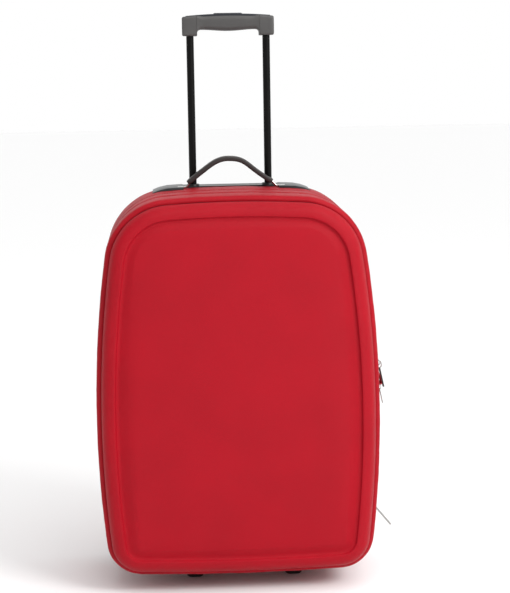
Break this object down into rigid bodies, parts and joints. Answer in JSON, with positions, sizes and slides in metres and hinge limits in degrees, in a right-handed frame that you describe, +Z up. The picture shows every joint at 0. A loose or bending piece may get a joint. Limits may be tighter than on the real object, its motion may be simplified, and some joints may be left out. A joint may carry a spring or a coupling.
{
  "type": "wheeled trolley suitcase",
  "caption": "Upright two-wheeled trolley suitcase with a moulded fabric-covered front, telescopic handle, carry strap, zip-open lid and expansion zip.",
  "frame": {"origin": "on the floor under the middle of the case, halfway between its sides", "axes": "+X to the right seen from the front, -Y out of the moulded front, +Z up along the handle tubes"},
  "size_m": [0.5138, 0.26, 0.9816],
  "materials": {
    "red_fabric": "matt woven nylon",
    "moulded_front": "fabric bonded to moulded foam",
    "zip_tape": "woven tape with moulded coil teeth",
    "lining": "thin polyester",
    "plate_plastic": "satin moulded plastic",
    "black_plastic": "matt moulded plastic",
    "grip_plastic": "satin moulded plastic",
    "grip_cap_plastic": "satin moulded plastic",
    "black_tube": "black coated steel",
    "steel": "bright steel",
    "nylon": "natural nylon",
    "wheel_tyre": "matt",
    "wheel_hub": "satin",
    "strap": "soft moulded strap",
    "zip_chrome": "polished",
    "dark_pull": "soft dark plastic"
  },
  "bodies": {
    "tray": {"rear_shell": "red_fabric", "tube_cover": "lining", "top_plate": "plate_plastic", "back_rivets": "steel", "tube_collar_left": "black_plastic", "tube_collar_right": "black_plastic", "outer_tube_left": "steel", "outer_tube_right": "steel", "tube_bracket": "black_plastic", "wheel_housing_left": "black_plastic", "wheel_housing_right": "black_plastic", "axle_left": "steel", "axle_right": "steel", "expansion_zip_rear_half": "zip_tape"},
    "front_frame": {"frame_band": "red_fabric", "main_zip_frame_half": "zip_tape", "expansion_zip_frame_half": "zip_tape", "hinge_strip": "red_fabric", "front_foot_left": "black_plastic", "front_foot_right": "black_plastic", "foot_screws": "steel"},
    "lid": {"lid_gusset": "red_fabric", "front_panel": "moulded_front", "lid_hoop": "steel", "lid_lining": "lining", "main_zip_lid_half": "zip_tape"},
    "handle": {"inner_tube_left": "black_tube", "inner_tube_right": "black_tube", "tube_plug_left": "nylon", "tube_plug_right": "nylon", "grip_body": "grip_plastic", "grip_cap": "grip_cap_plastic", "grip_screws": "steel", "button_spring": "steel"},
    "release": {"release_button": "grip_cap_plastic", "push_rod_left": "steel", "push_rod_right": "steel"},
    "lock_left": {"lock_pin_left": "steel"},
    "lock_right": {"lock_pin_right": "steel"},
    "wheel_left": {"wheel_tyre_left": "wheel_tyre", "wheel_hub_left": "wheel_hub", "wheel_bearings_left": "steel"},
    "wheel_right": {"wheel_tyre_right": "wheel_tyre", "wheel_hub_right": "wheel_hub", "wheel_bearings_right": "steel"},
    "carry_handle": {"carry_strap": "strap", "handle_wire_left": "steel", "handle_wire_right": "steel"},
    "upper_slider": {"main_slider_upper": "zip_chrome"},
    "upper_pull": {"main_pull_upper": "dark_pull"},
    "lower_slider": {"main_slider_lower": "zip_chrome"},
    "lower_pull": {"main_pull_lower": "zip_chrome"},
    "expansion_slider_body": {"expansion_slider": "zip_chrome"},
    "expansion_pull_body": {"expansion_pull": "zip_chrome"}
  },
  "joints": [
    {"name": "expansion", "type": "slide", "parent": "tray", "child": "front_frame", "axis": [0, -1, 0], "range_m": [0, 0.04]},
    {"name": "lid_hinge", "type": "hinge", "parent": "front_frame", "child": "lid", "pos_m": [-0.2405, -0.035, 0.2955], "axis": [0, 0, -1], "range_deg": [0, 150]},
    {"name": "handle_slide", "type": "slide", "parent": "tray", "child": "handle", "axis": [0, 0, -1], "range_m": [0, 0.255]},
    {"name": "release_press", "type": "slide", "parent": "handle", "child": "release", "axis": [0, 0, -1], "range_m": [0, 0.004], "stiffness_N_per_m": 600, "springref_m": -0.004, "deforming": ["button_spring"]},
    {"name": "lock_left_slide", "type": "slide", "parent": "handle", "child": "lock_left", "axis": [1, 0, 0], "range_m": [0, 0.002]},
    {"name": "lock_right_slide", "type": "slide", "parent": "handle", "child": "lock_right", "axis": [-1, 0, 0], "range_m": [0, 0.002]},
    {"name": "wheel_left_spin", "type": "hinge", "parent": "tray", "child": "wheel_left", "pos_m": [-0.175, 0.108, 0.025], "axis": [1, 0, 0], "continuous": true},
    {"name": "wheel_right_spin", "type": "hinge", "parent": "tray", "child": "wheel_right", "pos_m": [0.175, 0.108, 0.025], "axis": [1, 0, 0], "continuous": true},
    {"name": "carry_handle_lean", "type": "hinge", "parent": "tray", "child": "carry_handle", "pos_m": [0, 0.069, 0.6814], "axis": [1, 0, 0], "range_deg": [0, 32]},
    {"name": "upper_slider_travel", "type": "hinge", "parent": "front_frame", "child": "upper_slider", "pos_m": [-1.669, -0.035, 0.2955], "axis": [0, -1, 0], "range_deg": [0, 5.3]},
    {"name": "upper_pull_swing", "type": "hinge", "parent": "upper_slider", "child": "upper_pull", "pos_m": [0.24462, -0.035, 0.38031], "axis": [0, -1, 0], "range_deg": [0, 150]},
    {"name": "lower_slider_travel", "type": "hinge", "parent": "front_frame", "child": "lower_slider", "pos_m": [-1.669, -0.035, 0.2955], "axis": [0, -1, 0], "range_deg": [-7, 0]},
    {"name": "lower_pull_swing", "type": "hinge", "parent": "lower_slider", "child": "lower_pull", "pos_m": [0.24605, -0.035, 0.33715], "axis": [0, -1, 0], "range_deg": [-10, 65]},
    {"name": "expansion_slider_travel", "type": "hinge", "parent": "tray", "child": "expansion_slider_body", "pos_m": [-1.669, 0.019, 0.2955], "axis": [0, -1, 0], "range_deg": [0, 13]},
    {"name": "expansion_pull_swing", "type": "hinge", "parent": "expansion_slider_body", "child": "expansion_pull_body", "pos_m": [0.2381, 0.019, 0.11635], "axis": [0, -1, 0], "range_deg": [-39, 110]}
  ],
  "couplings": [
    {"joint": "lock_left_slide", "follows": "release_press", "ratio": 0.5},
    {"joint": "lock_right_slide", "follows": "release_press", "ratio": 0.5}
  ]
}
